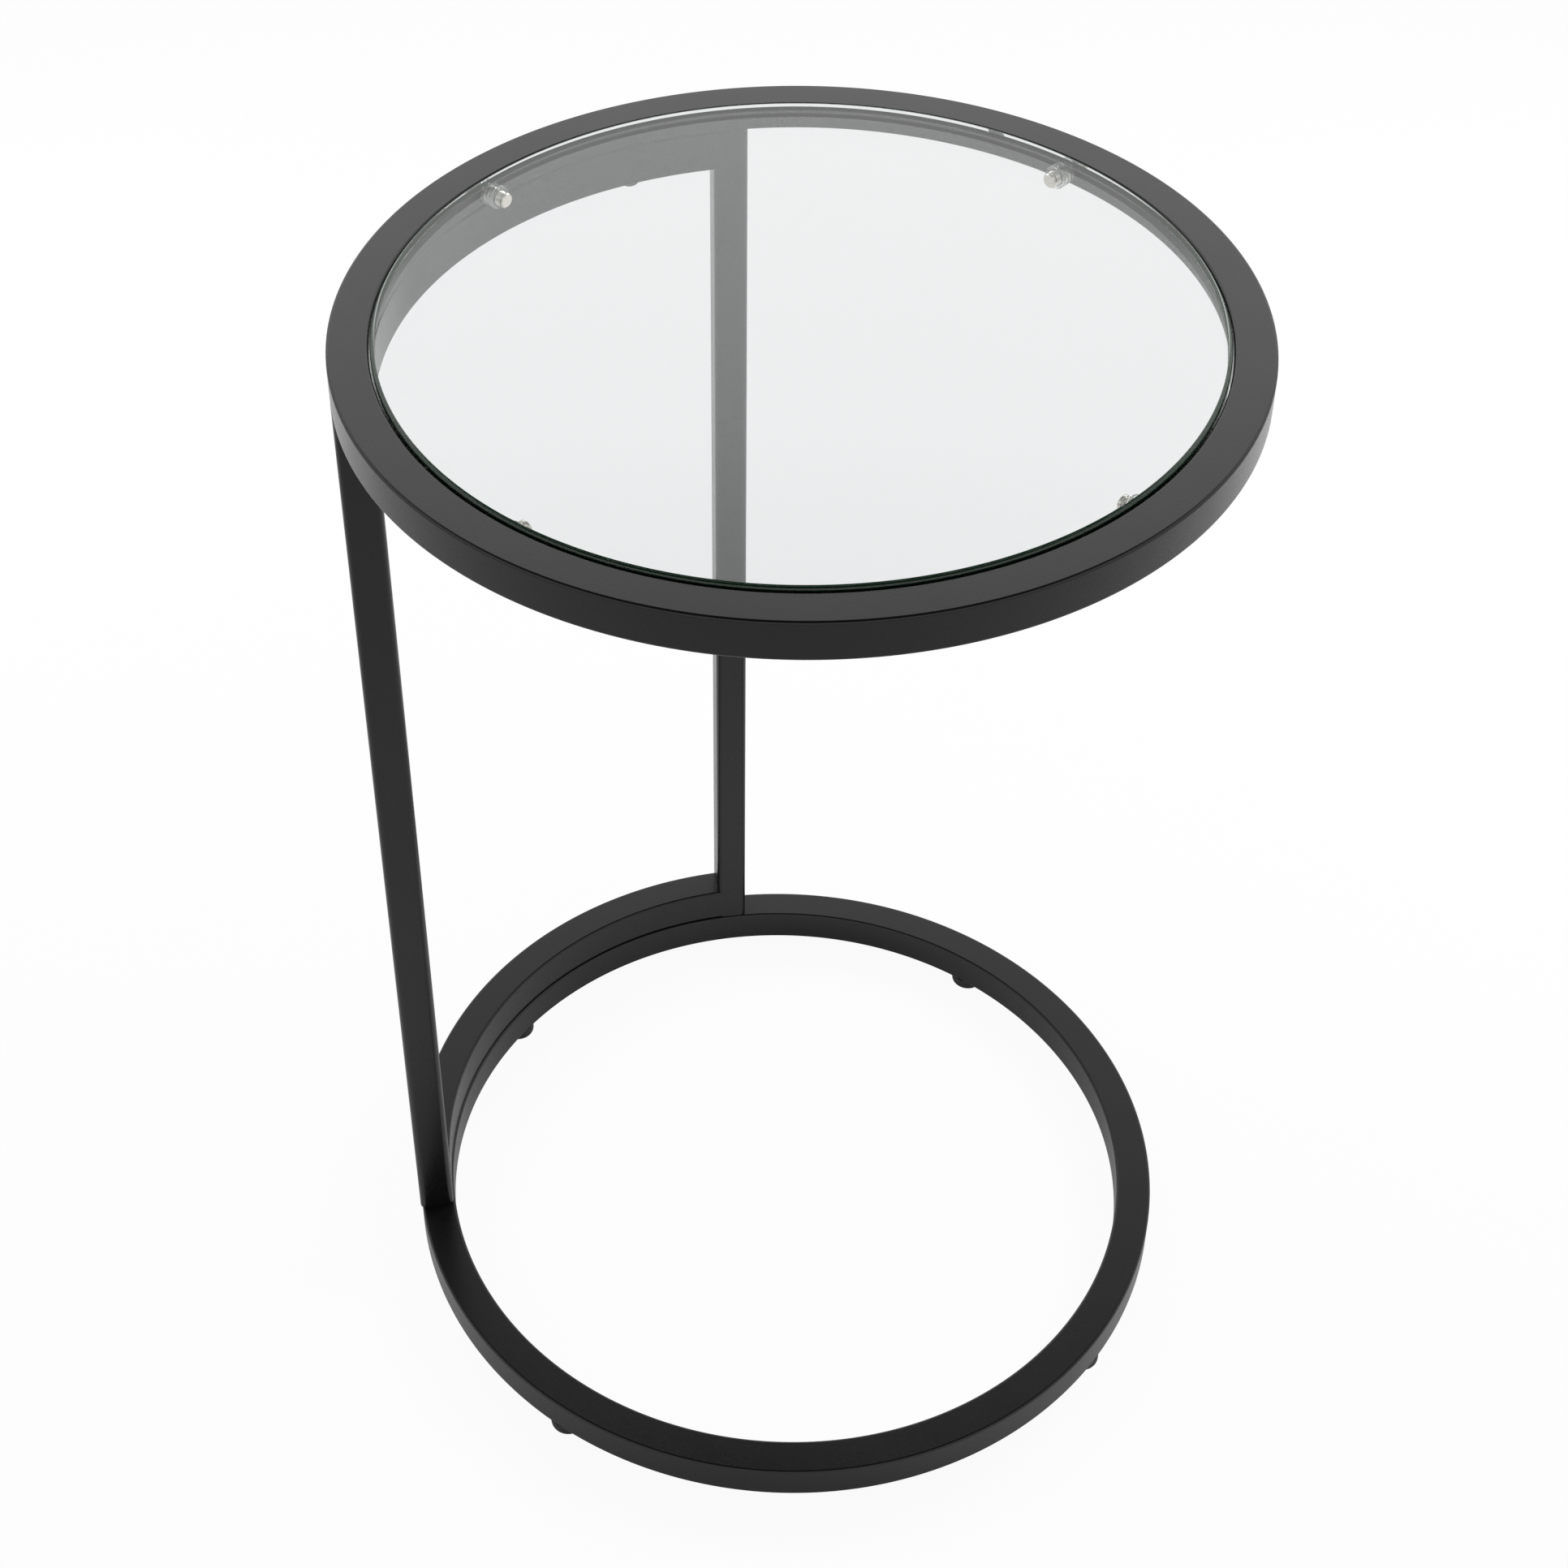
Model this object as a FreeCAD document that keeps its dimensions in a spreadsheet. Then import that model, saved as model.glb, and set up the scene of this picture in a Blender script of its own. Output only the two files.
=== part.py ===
"""C-shaped side table: two rings of square steel tube, joined at the back by a welded leg frame.

All sizes are in millimetres. The origin is the centre of the footprint on the floor, +Z is up and
the open side of the C faces -Y. Angles are in degrees about +Z, counted from +X.
"""
import FreeCAD, Part
import os
from math import pi
import Sketcher
from FreeCAD import Vector

doc = FreeCAD.newDocument("c_shaped_side_table")


# ---------------------------------------------------------------- driving dimensions
SIZES = [
    ("top_radius", 222.5, "outer radius of the top ring and of the leg frame"),
    ("base_setback", 1, "distance of the base ring's outer face inside the leg frame's"),
    ("tube_width", 20, "radial width of every tube"),
    ("tube_wall", 1.5, "wall of every tube"),
    ("ring_height", 21, "height of the two rings' tube"),
    ("ring_corner", 1.5, "outer corner radius of the rings and the rails"),
    ("upright_length", 591, "height between the two rings"),
    ("upright_width", 18.5, "width of an upright, seen from the middle of the table"),
    ("upright_corner", 3.5, "outer corner radius of an upright"),
    ("rail_height", 23, "height of the two arc rails"),
    ("leg_spread", 45, "angle from the back of the table to each upright"),
    ("glass_thickness", 10, "thickness of the glass disc"),
    ("glass_arris", 2, "rounding of the glass's upper and lower rims"),
    ("glass_rise", 1.5, "height of the glass above the top ring"),
    ("glass_gap", 0.7, "gap between the glass and the top ring all round"),
    ("glass_seat_gap", 0.3, "gap between the glass and the sleeves"),
    ("pin_turn_1", 7.4, "turn of support pin 1 back from the +X axis"),
    ("pin_turn_2", 3.8, "turn of support pin 2 back from the +Y axis"),
    ("pin_turn_3", 3.3, "turn of support pin 3 back from the -X axis"),
    ("pin_turn_4", 6.9, "turn of support pin 4 back from the -Y axis"),
    ("pin_diameter", 8, "diameter of a support pin"),
    ("pin_reach", 13, "length of a support pin inside the ring"),
    ("pin_chamfer", 0.6, "bevel on a support pin's end"),
    ("pin_thread", 4, "diameter of a support pin's root inside its insert"),
    ("pin_grip", 8.6, "length of a support pin's root inside its insert"),
    ("sleeve_length", 8, "length of the clear sleeve on a pin"),
    ("sleeve_barrel", 9.6, "diameter of the sleeve between its ribs"),
    ("sleeve_rib_diameter", 12.4, "diameter of the sleeve's ribs"),
    ("sleeve_rib_width", 0.9, "width of each of the sleeve's ribs"),
    ("sleeve_fit", 0.05, "clearance between the sleeve's bore and the pin"),
    ("sleeve_gap", 0.2, "gap between the ring's curved wall and a sleeve or a pin's shoulder"),
    ("pin_insert_diameter", 6, "body of the rivet nut behind a support pin"),
    ("pin_insert_length", 10, "length of the rivet nut behind a support pin"),
    ("screw_inset", 15, "angle from an upright to the frame screw beside it"),
    ("screw_diameter", 6, "thread of the frame screws and the foot studs"),
    ("screw_clearance", 0.5, "play of a frame screw in its holes, on the diameter"),
    ("screw_grip", 10, "length of a frame screw inside its insert"),
    ("thread_fit", 0.05, "clearance between a thread and its rivet nut"),
    ("screw_head_diameter", 10.5, "button head of a frame screw"),
    ("screw_head_height", 3.3, "height of the button head"),
    ("screw_head_round", 2.4, "rounding of the button head's rim"),
    ("socket_width", 4, "hexagon socket in the button head, across flats"),
    ("socket_depth", 2, "depth of the hexagon socket"),
    ("washer_diameter", 12, "plain washer under a screw head"),
    ("washer_thickness", 1.6, "thickness of the washer"),
    ("insert_diameter", 9, "body of the rivet nuts for the screws and feet"),
    ("insert_length", 13, "length of those rivet nuts"),
    ("insert_bulge", 1.2, "crimped collar of a rivet nut, beyond its body"),
    ("insert_bulge_length", 2.5, "length of the crimped collar"),
    ("foot_diameter", 20, "diameter of a glide"),
    ("foot_height", 8, "height of a glide"),
    ("foot_round", 3, "rounding of the glide's lower rim"),
    ("foot_stud_depth", 5, "depth of the steel stud moulded into a glide"),
    ("foot_stud_grip", 10, "length of the stud above the glide"),
]
PIN_COUNT = 4
FOOT_COUNT = 4
RIB_COUNT = 4
COPE_REACH = 0.85           # how much of an upright's rounding a rail's end reaches under
LEAST_INNER_CORNER = 0.2    # an upright's inner corner is at least this share of its wall
MOST_ARRIS = 0.45           # the glass's arris is at most this share of its thickness
NEARLY = 1e-6               # lengths closer than this are taken as equal

sheet = doc.addObject("Spreadsheet::Sheet", "sizes")
for row, (alias, size, meaning) in enumerate(SIZES, start=1):
    sheet.set(f"A{row}", meaning)
    sheet.set(f"B{row}", str(size))
    sheet.setAlias(f"B{row}", alias)
doc.recompute()

# Heights and radii that several pieces share, as expressions on the sheet
BASE_BOTTOM = "sizes.foot_height"
BASE_TOP = f"({BASE_BOTTOM} + sizes.ring_height)"
FRAME_TOP = f"({BASE_TOP} + sizes.upright_length)"
TABLE_TOP = f"({FRAME_TOP} + sizes.ring_height)"
TOP_INNER = "(sizes.top_radius - sizes.tube_width)"
BASE_INNER = "(sizes.top_radius - sizes.base_setback - sizes.tube_width)"
TOP_MIDDLE = "(sizes.top_radius - sizes.tube_width / 2)"
BASE_MIDDLE = "(sizes.top_radius - sizes.base_setback - sizes.tube_width / 2)"
GLASS_BOTTOM = f"({TABLE_TOP} + sizes.glass_rise - sizes.glass_thickness)"
PIN_HEIGHT = f"({GLASS_BOTTOM} - sizes.glass_seat_gap - sizes.sleeve_rib_diameter / 2)"
SCREW_HOLE = "(sizes.screw_diameter + sizes.screw_clearance)"
SCREW_CIRCLE = TOP_MIDDLE
SCREW_SPREAD = "(sizes.leg_spread - sizes.screw_inset)"
TOP_RAIL_BOTTOM = f"({FRAME_TOP} - sizes.rail_height)"
SCREW_RADIUS = "(sizes.screw_diameter / 2)"
PIN_RADIUS = "(sizes.pin_diameter / 2)"
PIN_TURNS = [f"({360 * i / PIN_COUNT} - sizes.pin_turn_{i + 1})" for i in range(PIN_COUNT)]
BACK = 90           # the middle of the leg frame lies at +Y


# ---------------------------------------------------------------- sketching helpers
def number(expression):
    """The expression's present value."""
    return float(sheet.evalExpression(expression))


def origin_feature(body, role):
    """One of the body's own origin planes or axes."""
    return next(part for part in body.Origin.OriginFeatures if part.Role == role)


def place(turn, x="0", y="0", z="0", axis="0; 0; 1"):
    """A placement expression: turned by an angle about an axis, then moved."""
    return f"placement(vector({x}; {y}; {z}); rotation(vector({axis}); ({turn}) * 1deg))"


def new_body(name, placement=None):
    """An empty body, one for each piece of the table."""
    body = doc.addObject("PartDesign::Body", name)
    body.Label = name
    if placement:
        body.setExpression("Placement", placement)
    return body


def new_sketch(body, name, role, offset=None):
    """An empty sketch on one of the body's own planes, moved by a placement expression."""
    sketch = body.newObject("Sketcher::SketchObject", name)
    sketch.AttachmentSupport = [(origin_feature(body, role), "")]
    sketch.MapMode = "FlatFace"
    if offset:
        sketch.setExpression("AttachmentOffset", offset)
    return sketch


def bind(sketch, constraint, expression):
    """Adds a dimension whose value follows an expression."""
    index = sketch.addConstraint(Sketcher.Constraint(*constraint, number(expression)))
    sketch.setExpression(f"Constraints[{index}]", expression)


def outline(sketch, corners):
    """A closed outline of straight sides; every corner is an (x, y) pair of expressions."""
    points = [Vector(number(x), number(y), 0) for x, y in corners]
    first = sketch.GeometryCount
    count = len(points)
    for i in range(count):
        sketch.addGeometry(Part.LineSegment(points[i], points[(i + 1) % count]), False)
    for i in range(count):
        following = first + (i + 1) % count
        sketch.addConstraint(Sketcher.Constraint("Coincident", first + i, 2, following, 1))
    for i, (x, y) in enumerate(corners):
        for kind, expression, axis in (("DistanceX", x, -2), ("DistanceY", y, -1)):
            if abs(number(expression)) < NEARLY:
                sketch.addConstraint(Sketcher.Constraint("PointOnObject", first + i, 1, axis))
            else:
                bind(sketch, (kind, -1, 1, first + i, 1), expression)


def rounded_box(sketch, left, bottom, width, height, corner):
    """A rectangle with rounded corners, given by expressions; left may be negative."""
    x0, y0, w, h, r = (number(e) for e in (left, bottom, width, height, corner))
    x1, y1 = x0 + w, y0 + h
    first = sketch.GeometryCount
    up = Vector(0, 0, 1)
    quarter = pi / 2
    sides = [
        ((x0 + r, y0), (x1 - r, y0), (x1 - r, y0 + r), 3),
        ((x1, y0 + r), (x1, y1 - r), (x1 - r, y1 - r), 0),
        ((x1 - r, y1), (x0 + r, y1), (x0 + r, y1 - r), 1),
        ((x0, y1 - r), (x0, y0 + r), (x0 + r, y0 + r), 2),
    ]
    for start, end, centre, turn in sides:
        sketch.addGeometry(Part.LineSegment(Vector(*start, 0), Vector(*end, 0)), False)
        circle = Part.Circle(Vector(*centre, 0), up, r)
        arc = Part.ArcOfCircle(circle, turn * quarter, (turn + 1) * quarter)
        sketch.addGeometry(arc, False)
    for i in range(4):
        line, arc, following = first + 2 * i, first + 2 * i + 1, first + (2 * i + 2) % 8
        sketch.addConstraint(Sketcher.Constraint("Tangent", line, 2, arc, 1))
        sketch.addConstraint(Sketcher.Constraint("Tangent", arc, 2, following, 1))
        sketch.addConstraint(Sketcher.Constraint("Vertical" if i % 2 else "Horizontal", line))
    for i in range(1, 4):
        sketch.addConstraint(Sketcher.Constraint("Equal", first + 1, first + 2 * i + 1))
    bind(sketch, ("Radius", first + 1), corner)
    bind(sketch, ("DistanceX", -1, 1, first + 6, 1), left)
    bind(sketch, ("DistanceY", -1, 1, first, 1), bottom)
    bind(sketch, ("DistanceX", first + 6, 1, first + 2, 1), width)
    bind(sketch, ("DistanceY", first, 1, first + 4, 1), height)


def circle_at(sketch, distance, diameter, along="x"):
    """A circle on one of the sketch's own axes, at a distance from its origin."""
    x, y = (number(distance), 0) if along == "x" else (0, number(distance))
    ring = sketch.addGeometry(Part.Circle(Vector(x, y, 0), Vector(0, 0, 1), number(diameter) / 2))
    kind, axis = ("DistanceX", -1) if along == "x" else ("DistanceY", -2)
    sketch.addConstraint(Sketcher.Constraint("PointOnObject", ring, 3, axis))
    bind(sketch, (kind, -1, 1, ring, 3), distance)
    bind(sketch, ("Diameter", ring), diameter)


def revolve(body, sketch, axis="V_Axis", angle=None):
    """A full turn of the sketch, or an arc that is centred on the sketch's plane."""
    turned = body.newObject("PartDesign::Revolution", sketch.Name + "_turned")
    turned.Profile = sketch
    turned.ReferenceAxis = (sketch, [axis])
    turned.Angle = 360
    if angle:
        turned.Midplane = True
        turned.setExpression("Angle", angle)
    return turned


def pad(body, sketch, length):
    """A straight length of the sketch, along its normal."""
    raised = body.newObject("PartDesign::Pad", sketch.Name + "_raised")
    raised.Profile = sketch
    raised.setExpression("Length", length)


def pocket(body, sketch, depth):
    """A cut that runs along the sketch's normal."""
    cut = body.newObject("PartDesign::Pocket", sketch.Name + "_cut")
    cut.Profile = sketch
    cut.Reversed = True
    cut.setExpression("Length", depth)
    return cut


def around(body, feature, count):
    """Repeats a feature evenly about the body's Z axis."""
    pattern = body.newObject("PartDesign::PolarPattern", feature.Name + "_around")
    pattern.Originals = [feature]
    pattern.Axis = (origin_feature(body, "Z_Axis"), [""])
    pattern.Angle = 360
    pattern.Occurrences = count
    body.Tip = pattern


def both_sides(body, feature):
    """Repeats a feature on the other side of the body's YZ plane."""
    mirror = body.newObject("PartDesign::Mirrored", feature.Name + "_both")
    mirror.Originals = [feature]
    mirror.MirrorPlane = (origin_feature(body, "YZ_Plane"), [""])
    body.Tip = mirror


def hole_up(body, name, turn, distance, diameter, start, depth):
    """A round hole drilled upwards from a height, at an angle and distance from the middle."""
    sketch = new_sketch(body, name, "XY_Plane", place(turn, z=start))
    circle_at(sketch, distance, diameter)
    return pocket(body, sketch, depth)


def tube_section(sketch, inner_radius, bottom, height):
    """The rings' and rails' tube in section: softly rounded outside, square inside."""
    rounded_box(sketch, inner_radius, bottom, "sizes.tube_width", height, "sizes.ring_corner")
    near = f"({inner_radius} + sizes.tube_wall)"
    far = f"({inner_radius} + sizes.tube_width - sizes.tube_wall)"
    low = f"({bottom} + sizes.tube_wall)"
    high = f"({bottom} + {height} - sizes.tube_wall)"
    outline(sketch, [(near, low), (far, low), (far, high), (near, high)])


# ---------------------------------------------------------------- rings
def make_ring(name, inner_radius, bottom):
    """A ring of rolled square tube, its ends welded together and ground flush."""
    body = new_body(name)
    section = new_sketch(body, name + "_section", "XZ_Plane")
    tube_section(section, inner_radius, bottom, "sizes.ring_height")
    revolve(body, section)
    return body


SCREW_TURN = f"{BACK} - {SCREW_SPREAD}"

top_ring = make_ring("top_ring", TOP_INNER, FRAME_TOP)
for pin, turn in enumerate(PIN_TURNS, start=1):
    pin_hole = new_sketch(top_ring, f"pin_hole_{pin}", "YZ_Plane", place(turn, axis="0; 1; 0"))
    circle_at(pin_hole, PIN_HEIGHT, "sizes.pin_insert_diameter", along="y")
    pocket(top_ring, pin_hole, TOP_MIDDLE)
half_ring = "sizes.ring_height / 2"
both_sides(top_ring, hole_up(top_ring, "top_insert_hole", SCREW_TURN, SCREW_CIRCLE,
                             "sizes.insert_diameter", FRAME_TOP, half_ring))

base_ring = make_ring("base_ring", BASE_INNER, BASE_BOTTOM)
around(base_ring, hole_up(base_ring, "foot_insert_hole", 0, BASE_MIDDLE,
                          "sizes.insert_diameter", BASE_BOTTOM, half_ring), FOOT_COUNT)
both_sides(base_ring, hole_up(base_ring, "base_screw_hole", SCREW_TURN, SCREW_CIRCLE,
                              SCREW_HOLE, BASE_BOTTOM, "sizes.ring_height"))


# ---------------------------------------------------------------- leg frame
RIGHT = f"{BACK} - sizes.leg_spread"
LEFT = f"{BACK} + sizes.leg_spread"


def upright_outline(sketch):
    """An upright's outer outline, with its middle on the sketch's x axis."""
    rounded_box(sketch, TOP_INNER, "(-sizes.upright_width / 2)", "sizes.tube_width",
                "sizes.upright_width", "sizes.upright_corner")


def make_upright(name, turn):
    """A straight tube with soft corners, between the two rings."""
    body = new_body(name, place(turn))
    section = new_sketch(body, name + "_section", "XY_Plane", place("0", z=BASE_TOP))
    wall = "sizes.tube_wall"
    upright_outline(section)
    rounded_box(section, f"({TOP_INNER} + {wall})", f"(-sizes.upright_width / 2 + {wall})",
                f"(sizes.tube_width - 2 * {wall})", f"(sizes.upright_width - 2 * {wall})",
                f"max(sizes.upright_corner - {wall}; {LEAST_INNER_CORNER} * {wall})")
    pad(body, section, "sizes.upright_length")


def make_rail(name, bottom):
    """An arc of tube between the uprights, its ends coped to their rounded sides."""
    body = new_body(name)
    section = new_sketch(body, name + "_section", "YZ_Plane")
    tube_section(section, TOP_INNER, bottom, "sizes.rail_height")
    end = f"(sizes.upright_width / 2 - {COPE_REACH} * sizes.upright_corner)"
    revolve(body, section, angle=f"2 * (sizes.leg_spread - asin({end} / {TOP_MIDDLE}) / 1deg)")
    for side, turn in (("right", RIGHT), ("left", LEFT)):
        cope = new_sketch(body, f"{name}_{side}_cope", "XY_Plane", place(turn, z=bottom))
        upright_outline(cope)
        pocket(body, cope, "sizes.rail_height")
    return body


make_upright("upright_right", RIGHT)
make_upright("upright_left", LEFT)
top_rail = make_rail("top_rail", TOP_RAIL_BOTTOM)
both_sides(top_rail, hole_up(top_rail, "top_screw_hole", SCREW_TURN, SCREW_CIRCLE,
                             SCREW_HOLE, TOP_RAIL_BOTTOM, "sizes.rail_height"))
bottom_rail = make_rail("bottom_rail", BASE_TOP)
both_sides(bottom_rail, hole_up(bottom_rail, "base_insert_hole", SCREW_TURN, SCREW_CIRCLE,
                                "sizes.insert_diameter", BASE_TOP, "sizes.rail_height / 2"))


# ---------------------------------------------------------------- glass
def round_rim(body, feature, radius, expression, both=False):
    """Rounds the lowest rim of a turned piece, or both rims of a disc."""
    doc.recompute()
    lowest = feature.Shape.BoundBox.ZMin
    rims = [f"Edge{i}" for i, edge in enumerate(feature.Shape.Edges, start=1)
            if isinstance(edge.Curve, Part.Circle)
            and abs(edge.Curve.Radius - number(radius)) < NEARLY
            and (both or edge.BoundBox.ZMax < lowest + NEARLY)]
    rounding = body.newObject("PartDesign::Fillet", feature.Name + "_rounded")
    rounding.Base = (feature, rims)
    rounding.setExpression("Radius", expression)
    return rounding


def make_glass():
    """A loose disc that stands a little above the ring, its edge ground flat, its arrises round."""
    body = new_body("glass_top")
    section = new_sketch(body, "glass_section", "XZ_Plane")
    rim, top = f"({TOP_INNER} - sizes.glass_gap)", f"({GLASS_BOTTOM} + sizes.glass_thickness)"
    outline(section, [("0", GLASS_BOTTOM), (rim, GLASS_BOTTOM), (rim, top), ("0", top)])
    arris = f"min(sizes.glass_arris; {MOST_ARRIS} * sizes.glass_thickness)"
    round_rim(body, revolve(body, section), rim, arris, both=True)


make_glass()


# ---------------------------------------------------------------- turned pieces
def polar(turn, distance, z):
    """A placement expression for an upright piece at an angle and distance from the middle."""
    x = f"{distance} * cos(({turn}) * 1deg)"
    y = f"{distance} * sin(({turn}) * 1deg)"
    return place(turn, x, y, z)


def make_screw(name, turn, seat, clamped):
    """A button-head screw that points up, its head against a washer below the seat."""
    head, low = "sizes.screw_head_height", f"{seat} - sizes.washer_thickness"
    body = new_body(name, polar(turn, SCREW_CIRCLE, f"{low} - {head}"))
    section = new_sketch(body, name + "_section", "XZ_Plane")
    tip = f"({head} + sizes.washer_thickness + {clamped} + sizes.screw_grip)"
    rim = "sizes.screw_head_diameter / 2"
    outline(section, [("0", "0"), (rim, "0"), (rim, head), (SCREW_RADIUS, head),
                      (SCREW_RADIUS, tip), ("0", tip)])
    round_rim(body, revolve(body, section), rim, "sizes.screw_head_round")
    socket = new_sketch(body, name + "_socket", "XY_Plane")
    reach = "sizes.socket_width / sqrt(3)"
    outline(socket, [(f"{reach} * cos({60 * i} * 1deg)", f"{reach} * sin({60 * i} * 1deg)")
                     for i in range(6)])
    pocket(body, socket, "sizes.socket_depth")


def make_washer(name, turn, seat):
    """A plain washer between a screw head and the seat."""
    body = new_body(name, polar(turn, SCREW_CIRCLE, f"{seat} - sizes.washer_thickness"))
    section = new_sketch(body, name + "_section", "XZ_Plane")
    bore, rim, top = f"{SCREW_HOLE} / 2", "sizes.washer_diameter / 2", "sizes.washer_thickness"
    outline(section, [(bore, "0"), (rim, "0"), (rim, top), (bore, top)])
    revolve(body, section)


def insert_outline(start, bore, shell, length):
    """A rivet nut in section, along y: flush at the wall's face, crimped behind the wall."""
    collar = f"({shell} + sizes.insert_bulge)"
    wall = f"({start} + sizes.tube_wall)"
    behind, end = f"({wall} + sizes.insert_bulge_length)", f"({start} + {length})"
    return [(bore, start), (shell, start), (shell, wall), (collar, wall), (collar, behind),
            (shell, behind), (shell, end), (bore, end)]


def make_insert(name, turn, distance, height):
    """A rivet nut in a tube's bottom wall, its thread along Z."""
    body = new_body(name, polar(turn, distance, height))
    section = new_sketch(body, name + "_section", "XZ_Plane")
    bore = f"({SCREW_RADIUS} + sizes.thread_fit)"
    outline(section, insert_outline("0", bore, "(sizes.insert_diameter / 2)",
                                    "sizes.insert_length"))
    revolve(body, section)


for screw, side in ((1, "-"), (2, "+")):
    at = f"{BACK} {side} {SCREW_SPREAD}"
    make_screw(f"top_bolt_{screw}", at, TOP_RAIL_BOTTOM, "sizes.rail_height")
    make_washer(f"top_washer_{screw}", at, TOP_RAIL_BOTTOM)
    make_insert(f"top_insert_{screw}", at, SCREW_CIRCLE, FRAME_TOP)
    make_screw(f"base_bolt_{screw}", at, BASE_BOTTOM, "sizes.ring_height")
    make_washer(f"base_washer_{screw}", at, BASE_BOTTOM)
    make_insert(f"base_insert_{screw}", at, SCREW_CIRCLE, BASE_TOP)


# ---------------------------------------------------------------- glass supports
def radial_body(name, turn):
    """A body whose sketch has its x axis along the support pin's axis, outwards."""
    body = new_body(name, place(turn))
    return body, new_sketch(body, name + "_section", "XZ_Plane", place("0", y=PIN_HEIGHT))


def make_pin(name, turn):
    """A plated stud with a bevelled end, its thinner root screwed into the ring's wall."""
    body, section = radial_body(name, turn)
    tip, root = f"({TOP_INNER} - sizes.pin_reach)", f"({TOP_INNER} + sizes.pin_grip)"
    shoulder, thread = f"({TOP_INNER} - sizes.sleeve_gap)", "(sizes.pin_thread / 2)"
    outline(section, [(tip, "0"), (tip, f"({PIN_RADIUS} - sizes.pin_chamfer)"),
                      (f"({tip} + sizes.pin_chamfer)", PIN_RADIUS), (shoulder, PIN_RADIUS),
                      (shoulder, thread), (root, thread), (root, "0")])
    revolve(body, section, "H_Axis")


def make_sleeve(name, turn):
    """A soft clear sleeve with ribs round it, pushed over the pin up to the ring."""
    body, section = radial_body(name, turn)
    bore = f"({PIN_RADIUS} + sizes.sleeve_fit)"
    barrel, rib = "(sizes.sleeve_barrel / 2)", "(sizes.sleeve_rib_diameter / 2)"
    root = f"({TOP_INNER} - sizes.sleeve_gap)"
    tip = f"({root} - sizes.sleeve_length)"
    pitch = f"((sizes.sleeve_length - sizes.sleeve_rib_width) / {RIB_COUNT - 1})"
    ribs = []
    for i in range(RIB_COUNT):
        start = f"({tip} + {i} * {pitch})"
        end = f"({start} + sizes.sleeve_rib_width)"
        ribs += [(start, barrel), (start, rib), (end, rib), (end, barrel)]
    outline(section, [(tip, bore), *ribs[1:-1], (root, bore)])
    revolve(body, section, "H_Axis")


def make_pin_insert(name, turn):
    """A rivet nut in the top ring's inner wall, its thread along the pin."""
    body, section = radial_body(name, turn)
    profile = insert_outline(TOP_INNER, "(sizes.pin_thread / 2 + sizes.thread_fit)",
                             "(sizes.pin_insert_diameter / 2)", "sizes.pin_insert_length")
    outline(section, [(along, out) for out, along in profile])
    revolve(body, section, "H_Axis")


for pin, turn in enumerate(PIN_TURNS, start=1):
    make_pin(f"support_pin_{pin}", turn)
    make_sleeve(f"pin_sleeve_{pin}", turn)
    make_pin_insert(f"pin_insert_{pin}", turn)


# ---------------------------------------------------------------- feet
def make_foot(name, turn):
    """A glide moulded in nylon, with a rounded lower rim and a steel stud in its middle."""
    body = new_body(name, polar(turn, BASE_MIDDLE, "0"))
    section = new_sketch(body, name + "_section", "XZ_Plane")
    rim, top = "(sizes.foot_diameter / 2)", "sizes.foot_height"
    floor = f"({top} - sizes.foot_stud_depth)"
    outline(section, [("0", "0"), (rim, "0"), (rim, top), (SCREW_RADIUS, top),
                      (SCREW_RADIUS, floor), ("0", floor)])
    round_rim(body, revolve(body, section), rim, "sizes.foot_round")


def make_foot_stud(name, turn):
    """The threaded stud that joins a glide to its rivet nut."""
    bottom = "sizes.foot_height - sizes.foot_stud_depth"
    body = new_body(name, polar(turn, BASE_MIDDLE, bottom))
    section = new_sketch(body, name + "_section", "XZ_Plane")
    top = "(sizes.foot_stud_depth + sizes.foot_stud_grip)"
    outline(section, [("0", "0"), (SCREW_RADIUS, "0"), (SCREW_RADIUS, top), ("0", top)])
    revolve(body, section)


for i in range(FOOT_COUNT):
    at = f"{360 * i / FOOT_COUNT}"
    make_foot(f"foot_{i + 1}", at)
    make_foot_stud(f"foot_stud_{i + 1}", at)
    make_insert(f"foot_insert_{i + 1}", at, BASE_MIDDLE, BASE_BOTTOM)


# ---------------------------------------------------------------- check and write
doc.recompute()
for item in doc.Objects:
    if "Invalid" in item.State or "Error" in item.State:
        raise RuntimeError(f"{item.Name} failed: {item.State}")
bodies = [item for item in doc.Objects if item.isDerivedFrom("PartDesign::Body")]
for body in bodies:
    if body.Shape.isNull() or not body.Shape.isValid() or len(body.Shape.Solids) != 1:
        raise RuntimeError(f"{body.Label} isn't one valid solid")
os.makedirs("parts", exist_ok=True)
for body in bodies:
    body.Shape.exportStep(f"parts/{body.Label}.step")
    print(f"{body.Label}: {body.Shape.Volume:.1f} mm3")
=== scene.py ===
import math

import bpy
from mathutils import Matrix, Vector


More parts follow.
